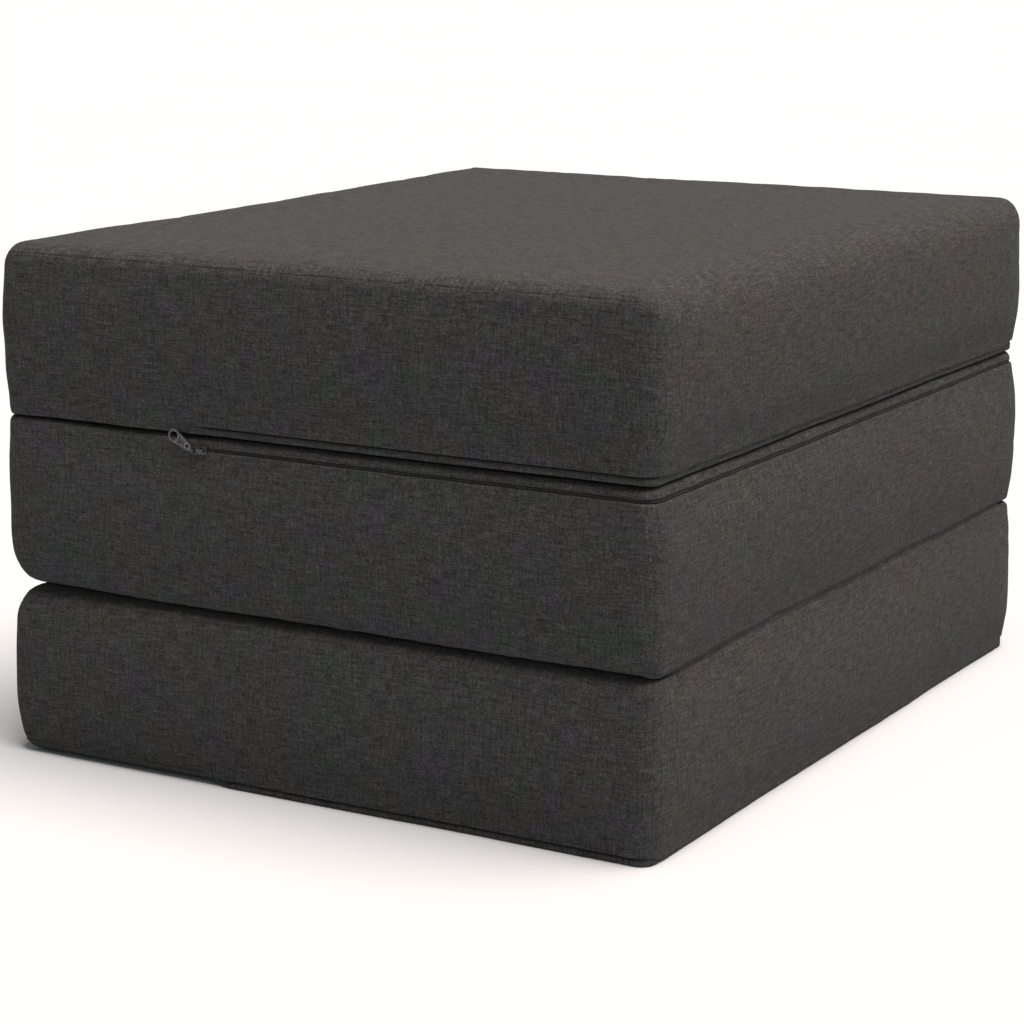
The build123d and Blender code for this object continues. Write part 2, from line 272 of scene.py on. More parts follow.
def profile_rows(name):
    """Outset and height of every profile row at every sample, from the sleeping face down."""
    zero = np.zeros(len(SAMPLES))
    plan = place(zero, np.full(len(SAMPLES), CORNER))
    sleep_plus_x, sleep_minus_x, sleep_y = SLEEP_RADIUS[name]
    growth = SLEEP_GROWTH[name] * smooth(-plan[:, 0], GROWTH_FROM, GROWTH_TO)
    sleep = by_side(sleep_plus_x, sleep_minus_x, sleep_y + growth)
    zip_edge = by_side(*ZIP_EDGE_RADIUS[name])
    taper_zip = by_side(*ZIP_TAPER)
    roll = ROLLS[name]
    roll_inset = by_side(roll["inset_x"], roll["inset_y"], roll["inset_y"])
    wide = name == "middle"
    slot_half = by_side(*SLOT_HALF[name])
    ridge_half = slot_half * RIDGE_SHARE
    lip_radius = by_side(*LIP_RADIUS[name])

    zipped = smooth(plan[:, 0], SLOT_SHUT, SLOT_OPEN)
    back, front = plan[:, 1] > 0, plan[:, 1] < 0
    from_corner = WIDTH / 2 - abs(plan[:, 1])
    along_end = smooth(from_corner, SAG_RAMP[0] * back, SAG_RAMP[1])
    sag_end = SAG_END[name] * along_end + SAG_FRONT[name] * (1 - along_end) * front
    sag = sag_end * np.clip(NORMAL_X, 0, 1) ** 2 + SAG_FRONT[name] * np.clip(-NORMAL_Y, 0, 1) ** 2
    rim = by_side(0.5, 0.0, 1.0) * RIM[name] * zipped + RIM[name] * (1 - zipped) * NORMAL_Y**2

    def side_outset(z):
        """The side face's outset, drawn in towards the zip face."""
        return bulge(z) - taper_zip * (1 - smooth(z, TAPER_LOW, TAPER_HIGH))

    def plain_outset(z):
        """The side and the plain rounded edge under it, where there is no zip."""
        low = np.clip(zip_edge - z, 0, zip_edge)
        return side_outset(np.maximum(z, zip_edge)) - zip_edge + np.sqrt(zip_edge**2 - low**2)

    rows = []
    # the sleeping face, in to the edge
    edge = side_outset(zero + THICK) - sleep
    for share in FACE_SHARES:
        rows.append((-CORE_INSET + (edge + CORE_INSET) * share, zero + THICK))
    # round the sleeping edge; the seam of the side panels is in its lower part
    for degrees in EDGE_DEGREES:
        a = math.radians(degrees)
        z = THICK - sleep + sleep * math.sin(a)
        rows.append((side_outset(z) - sleep * (1 - math.cos(a)), z))
    # down the side, to the lip over the zip
    top_z = THICK - sleep
    lip_z = ZIP_Z + slot_half + lip_radius - sag
    for i in range(1, SIDE_STEPS):
        z = top_z + (lip_z - top_z) * i / SIDE_STEPS
        rows.append((side_outset(z) * zipped + plain_outset(z) * (1 - zipped), z))
    # round the lip and into the slot, out over the tapes' edges, and back
    out = side_outset(lip_z)
    slot_top, slot_low = zero + ZIP_Z + slot_half, zero + ZIP_Z - slot_half
    deep = out - SLOT_DEPTH
    ridge = np.where((NORMAL_X > 0.5) | wide, out - roll_inset - RIDGE_RECESS, deep + 1.0 * MM)
    points = []
    for degrees in (0, 20, 42, 64, 90):
        a = math.radians(degrees)
        points.append((out - lip_radius * (1 - math.cos(a)), lip_z - lip_radius * math.sin(a)))
    points.append((out - 1.7 * lip_radius, slot_top - 0.6 * sag))
    points.append((out - 2.0 * lip_radius - 0.4 * MM, slot_top))
    points.append((deep, slot_top))
    for share, outset in ((1.1, deep), (1.0, ridge - 0.5 * MM), (0.5, ridge), (-0.5, ridge),
                          (-1.0, ridge - 0.5 * MM), (-1.1, deep)):
        points.append((outset, ZIP_Z + ridge_half * share))
    points.append((deep, slot_low))
    # the roll: a small rounding beside the slot, a larger one towards the zip face
    roll_out = out - roll_inset
    roll_top = slot_low - sag * NORMAL_Y**2
    slot_high = np.minimum(ROLL_ROUND_HIGH, (roll_top - rim - roll["high"]) * 0.8)
    for degrees in (90, 62, 32, 0):
        a = math.radians(degrees)
        points.append((roll_out - ROLL_ROUND_DEEP * (1 - math.cos(a)),
                       roll_top - slot_high * (1 - math.sin(a))))
    for degrees in (12, 26, 42, 58, 74, 90):
        a = math.radians(degrees)
        points.append((roll_out - roll["deep"] * (1 - math.cos(a)),
                       rim + roll["high"] * (1 - math.sin(a))))
    # without a zip the slot's rows close up, flush with the side
    lip_row = len(rows)
    for i, (open_out, z) in enumerate(points):
        if SLOT_FIRST <= i <= SLOT_LAST:
            shut = slot_top + (slot_low - slot_top) * (i - SLOT_FIRST) / (SLOT_LAST - SLOT_FIRST)
            z = z * zipped + shut * (1 - zipped)
        rows.append((open_out * zipped + plain_outset(z) * (1 - zipped), z))
    # the zip face: the rim comes down to where it rests, and on in to the core
    last = rows[-1][0]
    for share in RIM_SHARES:
        rows.append((last - RIM_DEPTH * share, rim * (1 - share)))
    last = rows[-1][0]
    for share in CORE_SHARES:
        rows.append((last + (-CORE_INSET - last) * share, zero))
    return rows, zipped, lip_row


def cushion_mesh(name):
    """One section's soft form in its own frame: vertices, faces, UVs and material numbers; then
    the vertex at each row and sample, the lip's row, and how open the slot is at each sample."""
    rows, zipped, lip_row = profile_rows(name)
    tape_rows = {lip_row + i for i in TAPE_ROWS}
    n = len(SAMPLES)
    last = len(rows) - 1
    verts = []
    ids = np.zeros((len(rows), n), int)

    # the two broad faces are grids whose borders are the first and the last row
    half_x, half_y = LENGTH / 2 - CORE_INSET, WIDTH / 2 - CORE_INSET
    grids = {}
    for row, z in ((0, THICK), (last, 0.0)):
        grid = np.zeros((NX + 1, NY + 1), int)
        for i in range(NX + 1):
            for j in range(NY + 1):
                grid[i, j] = len(verts)
                verts.append((-half_x + 2 * half_x * i / NX, -half_y + 2 * half_y * j / NY, z))
        grids[row] = grid
        for k, (kind, quarter, along, angle) in enumerate(SAMPLES):
            corner = {0: (NX, NY), 1: (0, NY), 2: (0, 0), 3: (NX, 0)}[quarter]
            if kind == "corner":
                ids[row, k] = grid[corner]
            elif quarter == 0:
                ids[row, k] = grid[NX, round((along + 1) / 2 * NY)]
            elif quarter == 1:
                ids[row, k] = grid[NX - round((along + 1) / 2 * NX), NY]
            elif quarter == 2:
                ids[row, k] = grid[0, NY - round((along + 1) / 2 * NY)]
            else:
                ids[row, k] = grid[round((along + 1) / 2 * NX), 0]
    for row in range(1, last):
        outset, z = rows[row]
        rounding = np.maximum(CORNER + outset, 0.0)
        # far in from the edge the corner closes to the core's square corner
        soft = np.clip((outset + CORE_INSET) / (CORE_INSET - CORNER), 0, 1) * CORE_CORNER
        radius = np.maximum(rounding, soft)
        xy = place(outset, radius)
        for k in range(n):
            ids[row, k] = len(verts)
            verts.append((xy[k, 0], xy[k, 1], z[k]))
    verts = np.array(verts)

    faces, uvs, kinds = [], [], []
    for row, up in ((0, True), (last, False)):
        grid = grids[row]
        for i in range(NX):
            for j in range(NY):
                quad = [grid[i, j], grid[i + 1, j], grid[i + 1, j + 1], grid[i, j + 1]]
                quad = quad if up else quad[::-1]
                faces.append(quad)
                uvs.append([(verts[v][0], verts[v][1]) for v in quad])
                kinds.append(0)
    # along the profile, v is the distance down from the sleeping face; u runs round the section
    ring = np.zeros(n + 1)
    mid = place(np.zeros(n), np.full(n, CORNER))
    closed = np.vstack([mid, mid[:1]])
    ring[1:] = np.cumsum(np.linalg.norm(np.diff(closed, axis=0), axis=1))
    down = np.zeros((len(rows), n))
    for row in range(1, len(rows)):
        do = rows[row][0] - rows[row - 1][0]
        dz = rows[row][1] - rows[row - 1][1]
        down[row] = down[row - 1] + np.sqrt(do**2 + dz**2)
    for row in range(last):
        for k in range(n):
            nk = (k + 1) % n
            quad = [ids[row, k], ids[row + 1, k], ids[row + 1, nk], ids[row, nk]]
            uv = [(ring[k], down[row, k]), (ring[k], down[row + 1, k]),
                  (ring[k + 1], down[row + 1, nk]), (ring[k + 1], down[row, nk])]
            if quad[0] == quad[3]:
                quad, uv = quad[:3], uv[:3]
            elif quad[1] == quad[2]:
                quad, uv = [quad[0], quad[1], quad[3]], [uv[0], uv[1], uv[3]]
            faces.append(quad)
            uvs.append(uv)
            kinds.append(1 if row in tape_rows and zipped[k] > 0.5 else 0)
    return verts, faces, uvs, kinds, ids, lip_row, zipped


def rounded_box(name, centre, size, rounding, segments):
    """A box with rounded edges, as a new object."""
    bm = bmesh.new()
    bmesh.ops.create_cube(bm, size=1)
    bmesh.ops.scale(bm, vec=size, verts=bm.verts)
    bmesh.ops.bevel(bm, geom=list(bm.edges), offset=rounding, segments=segments, affect="EDGES",
                    profile=0.5)
    bmesh.ops.translate(bm, vec=centre, verts=bm.verts)
    mesh = bpy.data.meshes.new(name)
    bm.to_mesh(mesh)
    bm.free()
    obj = bpy.data.objects.new(name, mesh)
    bpy.context.scene.collection.objects.link(obj)
    return obj


def coarse_section(name):
    """A rounded box a little smaller than a section, remeshed evenly, as a new object."""
    size = (LENGTH - COVER_INSET, WIDTH - COVER_INSET, THICK - COVER_INSET)
    obj = rounded_box(f"{name}_coarse", (0, 0, THICK / 2), size, COVER_ROUNDING, 4)
    remesh = obj.modifiers.new("remesh", "REMESH")
    remesh.mode = "VOXEL"
    remesh.voxel_size = COVER_VOXEL
    graph = bpy.context.evaluated_depsgraph_get()
    obj.data = bpy.data.meshes.new_from_object(obj.evaluated_get(graph))
    obj.modifiers.clear()
    return obj


def points_of(mesh):
    """A mesh's vertices as rows of x, y and z."""
    flat = np.zeros(len(mesh.vertices) * 3)
    mesh.vertices.foreach_get("co", flat)
    return flat.reshape(-1, 3)


def settle_cover(name):
    """The cover pushed out by its foam, simulated as cloth held along its seams, along its zip
    line, at its corners and where it lies flat on the foam: where the points of a coarse copy
    start, and how far each one moves."""
    obj = coarse_section(name)
    start = points_of(obj.data)
    x, y, z = start.T
    seam = (abs(z - (THICK - 9 * MM)) < 6 * MM) & (abs(y) > WIDTH / 2 - 14 * MM)
    zip_line = abs(z - ZIP_Z) < 6 * MM
    corner = (abs(x) > LENGTH / 2 - 10 * MM) & (abs(y) > WIDTH / 2 - 10 * MM)
    on_foam = (abs(x) < LENGTH / 2 - 75 * MM) & (abs(y) < WIDTH / 2 - 75 * MM)
    held = obj.vertex_groups.new(name="held")
    held.add([int(i) for i in np.where(seam | zip_line | corner | on_foam)[0]], 1.0, "REPLACE")
    cloth = obj.modifiers.new("cloth", "CLOTH")
    settings = cloth.settings
    settings.quality = 4
    settings.mass = 0.3
    settings.tension_stiffness = settings.compression_stiffness = 15
    settings.shear_stiffness = 5
    settings.bending_stiffness = 0.5
    settings.use_pressure = True
    settings.uniform_pressure_force = 4.0
    settings.shrink_min = -COVER_SLACK[name]
    settings.vertex_group_mass = "held"
    settings.effector_weights.gravity = 0
    cloth.point_cache.frame_start, cloth.point_cache.frame_end = 1, COVER_FRAMES
    for number in range(1, COVER_FRAMES + 1):
        bpy.context.scene.frame_set(number)
    graph = bpy.context.evaluated_depsgraph_get()
    moves = points_of(obj.evaluated_get(graph).data) - start
    bpy.data.objects.remove(obj)
    bpy.context.scene.frame_set(1)
    far = np.linalg.norm(moves, axis=1)[:, None]
    return start, moves * COVER_CAP / (COVER_CAP + far)


def carried(name, verts):
    """The settled cover's moves at the points of the full mesh, from the nearest six each."""
    start, moves = settle_cover(name)
    tree = KDTree(len(start))
    for i, point in enumerate(start):
        tree.insert(point, i)
    tree.balance()
    drift = np.zeros_like(verts)
    for i, point in enumerate(verts):
        near = tree.find_n(point, 6)
        weights = np.array([1 / (far + 2 * MM) ** 2 for _, _, far in near])
        drift[i] = (moves[[j for _, j, _ in near]] * weights[:, None]).sum(0) / weights.sum()
    return drift


def swells(name, verts, side):
    """How far each vertex stands out or in where a loose cover swells and dents over its foam."""
    seed = SEEDS[name]
    x, y, z = verts.T
    total = np.zeros(len(verts))
    total += side * 1.3 * MM * noise_at(verts, 0.13, seed)
    total += side * 0.6 * MM * noise_at(verts, 0.045, seed + 10)
    # the -X end is looser
    at_end = smooth(-x, LENGTH / 2 - LOOSE_REACH, LENGTH / 2 - 4 * MM)
    loose = at_end * smooth(z, 0.0, 24 * MM)
    total += loose * 1.7 * MM * noise_at(np.stack([x, y * 0.5, z], 1), 0.036, seed + 50)
    if name == "top":
        face = smooth(z, THICK - 30 * MM, THICK)
        total += face * 0.9 * MM * noise_at(verts, 0.16, seed + 20)
        total += face * 0.25 * MM * noise_at(verts, 0.05, seed + 30)
    return total


def draw_in_seams(total, x, ids, lip_row):
    """Sinks the side panels' seams: along both long sleeping edges and down all four corners."""
    for k, (kind, quarter, along, angle) in enumerate(SAMPLES):
        here = ids[SEAM_ROW, k]
        if abs(math.sin(angle)) > 0.70:
            depth = SEAM_DEPTH - SEAM_FADE * float(smooth(x[here], -50 * MM, LENGTH / 2))
            total[here] -= depth
            for row in (SEAM_ROW - 1, SEAM_ROW + 1):
                total[ids[row, k]] += SEAM_RIDGE * depth
        if kind == "corner" and abs(math.degrees(angle) % 90 - 45) < 1:
            for row in range(SEAM_ROW, lip_row):
                total[ids[row, k]] -= CORNER_SEAM_DEPTH


def puckers(name, verts, side):
    """The short puckers that stitching draws in, fading away from each seam."""
    x, y, z = verts.T
    waves = noise_at(np.stack([x, y, z * 0.25], 1), 0.016, SEEDS[name] + 40)
    near_edge = np.exp(-((z - (THICK - 8 * MM)) / (11 * MM)) ** 2)
    near_zip = np.exp(-((z - 15 * MM) / (8 * MM)) ** 2)
    return (near_edge * 0.30 + near_zip * 0.24) * side * MM * waves


def crown(verts):
    """How far the top section's sleeping face rises, with the pinches along its -X edge."""
    x, y, z = verts.T
    u = np.clip(abs(x) / (LENGTH / 2 - 8 * MM), 0, 1)
    v = np.clip(abs(y) / (WIDTH / 2 - 8 * MM), 0, 1)
    rise = smooth(z, THICK * 0.75, THICK) * (CROWN * (1 - u**2.4) * (1 - v**2.4))
    at_end = smooth(-x, LENGTH / 2 - LOOSE_REACH, LENGTH / 2 - 8 * MM)
    at_edge = smooth(z, THICK - 30 * MM, THICK - 4 * MM)
    for at, depth, reach in PINCHES:
        rise -= np.exp(-((y - at) / reach) ** 2) * at_end * depth * at_edge
    return rise


def soften(name, verts, normals, ids, lip_row, zipped):
    """The cushion's vertices with the waves, seams and puckers of a loose cover over foam."""
    x, y, _ = verts.T
    # the waves of the sides fade out over the broad faces
    from_core = np.maximum(abs(x) - LENGTH / 2 + 16 * MM, abs(y) - WIDTH / 2 + 16 * MM)
    side = smooth(from_core, -14 * MM, 8 * MM)
    total = swells(name, verts, side)
    draw_in_seams(total, x, ids, lip_row)
    total += puckers(name, verts, side)

    drift = carried(name, verts)
    # round a zip, all of the slot and the roll moves with the lip, straight out or in
    outward = np.stack([NORMAL_X, NORMAL_Y, 0 * NORMAL_X], 1)
    lip = ids[lip_row]
    lip_total, lip_drift = total[lip], drift[lip] * (1, 1, 0)
    share = zipped[:, None]
    for row in range(lip_row, len(ids) - len(RIM_SHARES) - len(CORE_SHARES) - 1):
        here = ids[row]
        total[here] += (lip_total - total[here]) * zipped
        normals[here] += (outward - normals[here]) * share
        drift[here] += (lip_drift - drift[here]) * share
    moved = verts + (normals * total[:, None] + drift)

    # what rests on something or carries something stays flat there
    if name == "top":
        moved[:, 2] = np.maximum(moved[:, 2] + crown(verts), CLEARANCE)
    else:
        moved[:, 2] = np.clip(moved[:, 2], 0.0, THICK)
    return moved


def to_row_frame(name, points):
    """From a section's own frame to the row frame."""
    points = np.array(points, float).copy()
    if SECTIONS[name]["turned"]:
        points[:, 1:] *= -1
    points[:, 2] += SECTIONS[name]["lift"]
    return points


def mesh_object(name, verts, faces, materials, kinds=None, uvs=None, flat=False):
    """A mesh object of the points and faces given."""
    mesh = bpy.data.meshes.new(name)
    mesh.from_pydata([tuple(v) for v in verts], [], [list(map(int, f)) for f in faces])
    if uvs is not None:
        layer = mesh.uv_layers.new(name="UVMap")
        layer.data.foreach_set("uv", [c for face in uvs for uv in face for c in uv])
    for material in materials:
        mesh.materials.append(material)
    if kinds is not None:
        mesh.polygons.foreach_set("material_index", kinds)
    mesh.polygons.foreach_set("use_smooth", [not flat] * len(mesh.polygons))
    mesh.update()
    obj = bpy.data.objects.new(name, mesh)
    bpy.context.scene.collection.objects.link(obj)
    return obj


def vertex_normals(verts, faces):
    """The outward direction of a form at each of its vertices."""
    mesh = bpy.data.meshes.new("tmp")
    mesh.from_pydata([tuple(v) for v in verts], [], [list(map(int, f)) for f in faces])
    mesh.update()
    normals = np.zeros(len(verts) * 3)
    mesh.vertices.foreach_get("normal", normals)
    bpy.data.meshes.remove(mesh)
    return normals.reshape(-1, 3)


def section_nodes(name, *pieces):
    """The names that one section's CAD nodes have."""
    return [f"{name}_{piece}" for piece in pieces]


def build_cushion(name, cloth, tape):
    """One section's cushion, in place of its foam, cover and zip tapes."""
    verts, faces, uvs, kinds, ids, lip_row, zipped = cushion_mesh(name)
    normals = vertex_normals(verts, faces)
    verts = soften(name, verts, normals, ids, lip_row, zipped)
    obj = mesh_object(f"{name}_cushion", to_row_frame(name, verts), faces, [cloth, tape], kinds,
                      uvs)
    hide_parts(*section_nodes(name, "foam_core", "cover_wrap", "cover_slider_side",
                                    "cover_plain_side", "cover_zip_panel", "zip_tape_on_band",
                                    "zip_tape_on_panel"))
    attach(obj, f"{name}_section")
    return obj


def coil_path():
    """Points along the zipped sides, each with the outward direction there."""
    radius = CORNER - COIL_INSET + 3 * MM
    hx, hy = LENGTH / 2 - COIL_INSET - radius, WIDTH / 2 - COIL_INSET - radius
    start = ZIP_START + 9 * MM
    along = range(int((hx - start) / COIL_PITCH) + 1)
    across = range(int(2 * hy / COIL_PITCH) + 1)
    arc = int(radius * math.pi / 2 / COIL_PITCH)

    def turn(centre_y, from_angle):
        """The points round one corner."""
        for i in range(1, arc):
            a = from_angle + math.pi / 2 * i / arc
            out = math.cos(a), math.sin(a)
            yield (hx + radius * out[0], centre_y + radius * out[1], *out)

    path = [(start + i * COIL_PITCH, -hy - radius, 0, -1) for i in along]
    path += turn(-hy, -math.pi / 2)
    path += [(hx + radius, -hy + i * COIL_PITCH, 1, 0) for i in across]
    path += turn(hy, 0.0)
    path += [(hx - i * COIL_PITCH, hy + radius, 0, 1) for i in along]
    return path


def build_coils(name, material):
    """Both halves of the coil as fine ribs, deep in the slot, along the zipped sides."""
    path = coil_path()
    verts, faces = [], []
    ring = COIL_RING
    for half, sign in enumerate((1, -1)):
        first = len(verts)
        for i, (px, py, nx, ny) in enumerate(path):
            fat = COIL_WAIST if (i + half) % 2 else 1.0
            for j in range(ring):
                a = 2 * math.pi * j / ring
                out = COIL_DEEP * fat * math.cos(a)
                up = ZIP_Z + sign * COIL_APART + COIL_HIGH * fat * math.sin(a)
                verts.append((px + nx * out, py + ny * out, up))
        for i in range(len(path) - 1):
            for j in range(ring):
                a = first + i * ring + j
                b = first + i * ring + (j + 1) % ring
                faces.append((a, b, b + ring, a + ring))
        faces.append([first + j for j in range(ring)][::-1])
        faces.append([first + (len(path) - 1) * ring + j for j in range(ring)])
    obj = mesh_object(f"{name}_coil_chain", to_row_frame(name, verts), faces, [material])
    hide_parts(f"{name}_zip_coils")
    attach(obj, f"{name}_section")


def build_stops(name, material):
    """The two end stops, sunk in the slot."""
    turned = SECTIONS[name]["turned"]
    z = SECTIONS[name]["lift"] + (-ZIP_Z if turned else ZIP_Z)
    for side in (1, -1):
        centre = (ZIP_START + STOP_AFTER, side * (WIDTH / 2 - STOP_INSET), z)
        stop = rounded_box(f"{name}_stop_{'back' if side > 0 else 'front'}", centre,
                           STOP_SIZE, STOP_ROUNDING, 3)
        stop.data.materials.append(material)
        stop.data.polygons.foreach_set("use_smooth", [True] * len(stop.data.polygons))
        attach(stop, f"{name}_section")
    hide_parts(f"{name}_zip_stops")


def surface_x(trees, side, y, z):
    """Where the cushions' surface lies along X at a place on one end, or None in a gap."""
    reach = LENGTH / 2 + 30 * MM
    found = []
    for tree in trees:
        hit = tree.ray_cast(Vector((side * reach, y, z)), Vector((-side, 0, 0)), 60 * MM)[0]
        if hit is not None:
            found.append(side * hit.x)
    return max(found) if found else None


def build_hinge(name, at_x, fold_z, nodes, reach, depth, trees, cloth):
    """A strip of cloth sewn into both cushions' edges, that shows only in their crease: its reach
    to either side of the fold, and the depth of its dip there."""
    side = 1 if at_x > 0 else -1
    half = WIDTH / 2 - CORNER - 2 * MM
    along = int(2 * half / HINGE_STEP)
    # no point lies beside the fold, so that each half stays with its own cushion
    shares = np.concatenate([np.linspace(-1, -HINGE_BRIDGE, HINGE_POINTS),
                             np.linspace(HINGE_BRIDGE, 1, HINGE_POINTS)])
    ends = np.zeros((along + 1, 2))
    for j in range(along + 1):
        y = -half + 2 * half * j / along
        for k, up in enumerate((-reach, reach)):
            ends[j, k] = surface_x(trees, side, y, fold_z + up)
    verts, faces, uvs = [], [], []
    for j in range(along + 1):
        y = -half + 2 * half * j / along
        tuck = (1 - float(smooth(half - abs(y), 0.0, 22 * MM))) * HINGE_TUCK
        wave = 0.3 * MM * noise.noise(Vector((y / 0.03, fold_z * 9, 2.0)))
        for layer in (0, 1):
            for s in shares:
                straight = ends[j, 0] + (ends[j, 1] - ends[j, 0]) * (s + 1) / 2
                dip = depth * math.exp(-((abs(s) - HINGE_BRIDGE) / 0.3) ** 2)
                x = straight - HINGE_SUNK - dip - tuck + wave * (1 - abs(s)) - layer * HINGE_THICK
                x = min(x, FOLD_X - 0.4 * MM)
                verts.append((side * x, y, fold_z + s * reach))
    m = len(shares)
    for j in range(along):
        for layer in (0, 1):
            for i in range(m - 1):
                a = (j * 2 + layer) * m + i
                b = a + 1
                c = b + 2 * m
                d = a + 2 * m
                quad = [a, d, c, b] if (layer == 0) == (side > 0) else [a, b, c, d]
                faces.append(quad)
        for i in (0, m - 1):
            a = j * 2 * m + i
            b = a + m
            quad = [a, b, b + 2 * m, a + 2 * m]
            faces.append(quad if (i == 0) == (side > 0) else quad[::-1])
    for j in (0, along):
        for i in range(m - 1):
            a = j * 2 * m + i
            quad = [a, a + 1, a + 1 + m, a + m]
            faces.append(quad if (j == 0) == (side > 0) else quad[::-1])
    for face in faces:
        uvs.append([(verts[v][1], verts[v][2]) for v in face])
    obj = mesh_object(name, verts, faces, [cloth], uvs=uvs)
    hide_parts(*nodes)
    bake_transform(obj)


class Nodes:
    """A short way to write the nodes of a material or the world."""

    def __init__(self, tree):
        self.tree = tree

    def node(self, kind, **settings):
        """A new node with its settings."""
        made = self.tree.nodes.new(kind)
        for key, value in settings.items():
            setattr(made, key, value)
        return made

    def put(self, value, socket):
        """Links an output to an input, or sets the input to a plain value."""
        if isinstance(value, bpy.types.NodeSocket):
            self.tree.links.new(value, socket)
        else:
            socket.default_value = value

    def math(self, how, a, b=0.0):
        made = self.node("ShaderNodeMath", operation=how)
        self.put(a, made.inputs[0])
        self.put(b, made.inputs[1])
        return made.outputs[0]

    def scaled(self, vector, scale):
        made = self.node("ShaderNodeVectorMath", operation="MULTIPLY")
        self.put(vector, made.inputs[0])
        made.inputs[1].default_value = scale
        return made.outputs[0]

    def noise(self, vector, scale, detail=2.0, rough=0.5):
        made = self.node("ShaderNodeTexNoise")
        self.put(vector, made.inputs["Vector"])
        made.inputs["Scale"].default_value = scale
        made.inputs["Detail"].default_value = detail
        made.inputs["Roughness"].default_value = rough
        return made.outputs["Fac"]

    def span(self, value, low, high, to_low=0.0, to_high=1.0):
        """A value carried smoothly from one range to another."""
        made = self.node("ShaderNodeMapRange", interpolation_type="SMOOTHSTEP")
        self.put(value, made.inputs["Value"])
        made.inputs["From Min"].default_value = low
        made.inputs["From Max"].default_value = high
        made.inputs["To Min"].default_value = to_low
        made.inputs["To Max"].default_value = to_high
        return made.outputs["Result"]

    def mix(self, factor, a, b, how="MIX"):
        """Two colours mixed: sockets 6 and 7 in, and 2 out, are the node's colour sockets."""
        made = self.node("ShaderNodeMix", data_type="RGBA", blend_type=how)
        self.put(factor, made.inputs[0])
        self.put(a, made.inputs[6])
        self.put(b, made.inputs[7])
        return made.outputs[2]

    def bump(self, height, distance, strength):
        made = self.node("ShaderNodeBump")
        made.inputs["Strength"].default_value = strength
        made.inputs["Distance"].default_value = distance
        self.put(height, made.inputs["Height"])
        return made.outputs["Normal"]


class Look(Nodes):
    """A new material with one plain shader."""

    def __init__(self, name):
        self.material = bpy.data.materials.new(name)
        self.material.use_nodes = True
        super().__init__(self.material.node_tree)
        self.tree.nodes.clear()
        self.shader = self.node("ShaderNodeBsdfPrincipled")
        self.put(self.shader.outputs[0], self.node("ShaderNodeOutputMaterial").inputs[0])

    def set(self, **values):
        """The material, with the shader's inputs set by name."""
        for key, value in values.items():
            self.put(value, self.shader.inputs[key.replace("_", " ")])
        return self.material


# The linen's yarns: streaks per metre along and across, and the share that those along u and
# those along v have in its tone. The last two rows are the slubs.
YARNS = (
    (280.0, 1080.0, 0.13, 0.125),
    (60.0, 800.0, 0.10, 0.085),
    (50.0, 300.0, 0.055, 0.05),
)
# patches of warmer, greener and more violet yarn: stretch, scale and tint
PATCHES = (
    ((1.0, 0.8, 1.0), 27.0, (1.10, 0.985, 0.92, 1)),
    ((1.0, 1.0, 0.8), 23.0, (0.955, 1.045, 0.925, 1)),
    ((0.8, 0.9, 1.4), 25.0, (1.02, 0.955, 1.05, 1)),
)


def linen(name, tone):
    """Linen-look weave of heathered charcoal yarn, with slubs both ways."""
    m = Look(name)
    uv = m.node("ShaderNodeUVMap", uv_map="UVMap").outputs["UV"]
    place3 = m.node("ShaderNodeTexCoord").outputs["Object"]

    def streaks(scale):
        """Yarn streaks, -1 to 1."""
        value = m.noise(m.scaled(uv, scale), 1.0, 1.0, 0.5)
        return m.span(value, 0.33, 0.67, -1.0, 1.0)

    level = 0.5
    yarns = []
    for per_along, per_across, share_u, share_v in YARNS:
        along_u, along_v = streaks((per_along, per_across, 1)), streaks((per_across, per_along, 1))
        level = m.math("ADD", level, m.math("MULTIPLY", along_u, share_u))
        level = m.math("ADD", level, m.math("MULTIPLY", along_v, share_v))
        yarns.append((along_u, along_v))
    level = m.math("POWER", m.math("MAXIMUM", level, 0.0), 1.6)
    dark = (0.031 * tone, 0.031 * tone, 0.0315 * tone, 1)
    light = (0.183 * tone, 0.180 * tone, 0.178 * tone, 1)
    colour = m.mix(level, dark, light)
    facing = m.node("ShaderNodeSeparateXYZ")
    m.put(m.node("ShaderNodeTexCoord").outputs["Normal"], facing.inputs[0])
    # the patches are fainter on the broad faces
    strength = m.span(m.math("ABSOLUTE", facing.outputs["Z"]), 0.4, 0.9, 0.9, 0.3)
    for stretch, scale, tint in PATCHES:
        where = m.span(m.noise(m.scaled(place3, stretch), scale, 3.0, 0.65), 0.47, 0.62)
        colour = m.mix(m.math("MULTIPLY", where, strength), colour, tint, "MULTIPLY")
    # the fine and the long yarns stand up from the cloth
    (fine_u, fine_v), (long_u, long_v) = yarns[:2]
    weave = m.math("ADD", m.math("MULTIPLY", fine_u, 0.5), m.math("MULTIPLY", fine_v, 0.5))
    weave = m.math("ADD", weave, m.math("MULTIPLY", m.math("ADD", long_u, long_v), 0.4))
    return m.set(Base_Color=colour, Roughness=0.95, Normal=m.bump(weave, 0.16 * MM, 0.3),
                 Sheen_Weight=0.04, Sheen_Roughness=0.5, Sheen_Tint=(1.0, 0.86, 0.74, 1),
                 Specular_IOR_Level=0.08)


def plain_cloth(name, colour):
    """Close black webbing, as on zip tape."""
    m = Look(name)
    place3 = m.node("ShaderNodeTexCoord").outputs["Object"]
    ribs = m.noise(m.scaled(place3, (900, 900, 2600)), 1.0, 2.0, 0.5)
    dark = tuple(c * 0.6 for c in colour) + (1,)
    return m.set(Base_Color=m.mix(m.span(ribs, 0.35, 0.65), dark, colour + (1,)), Roughness=0.85,
                 Normal=m.bump(ribs, 0.3 * MM, 0.5), Specular_IOR_Level=0.2)


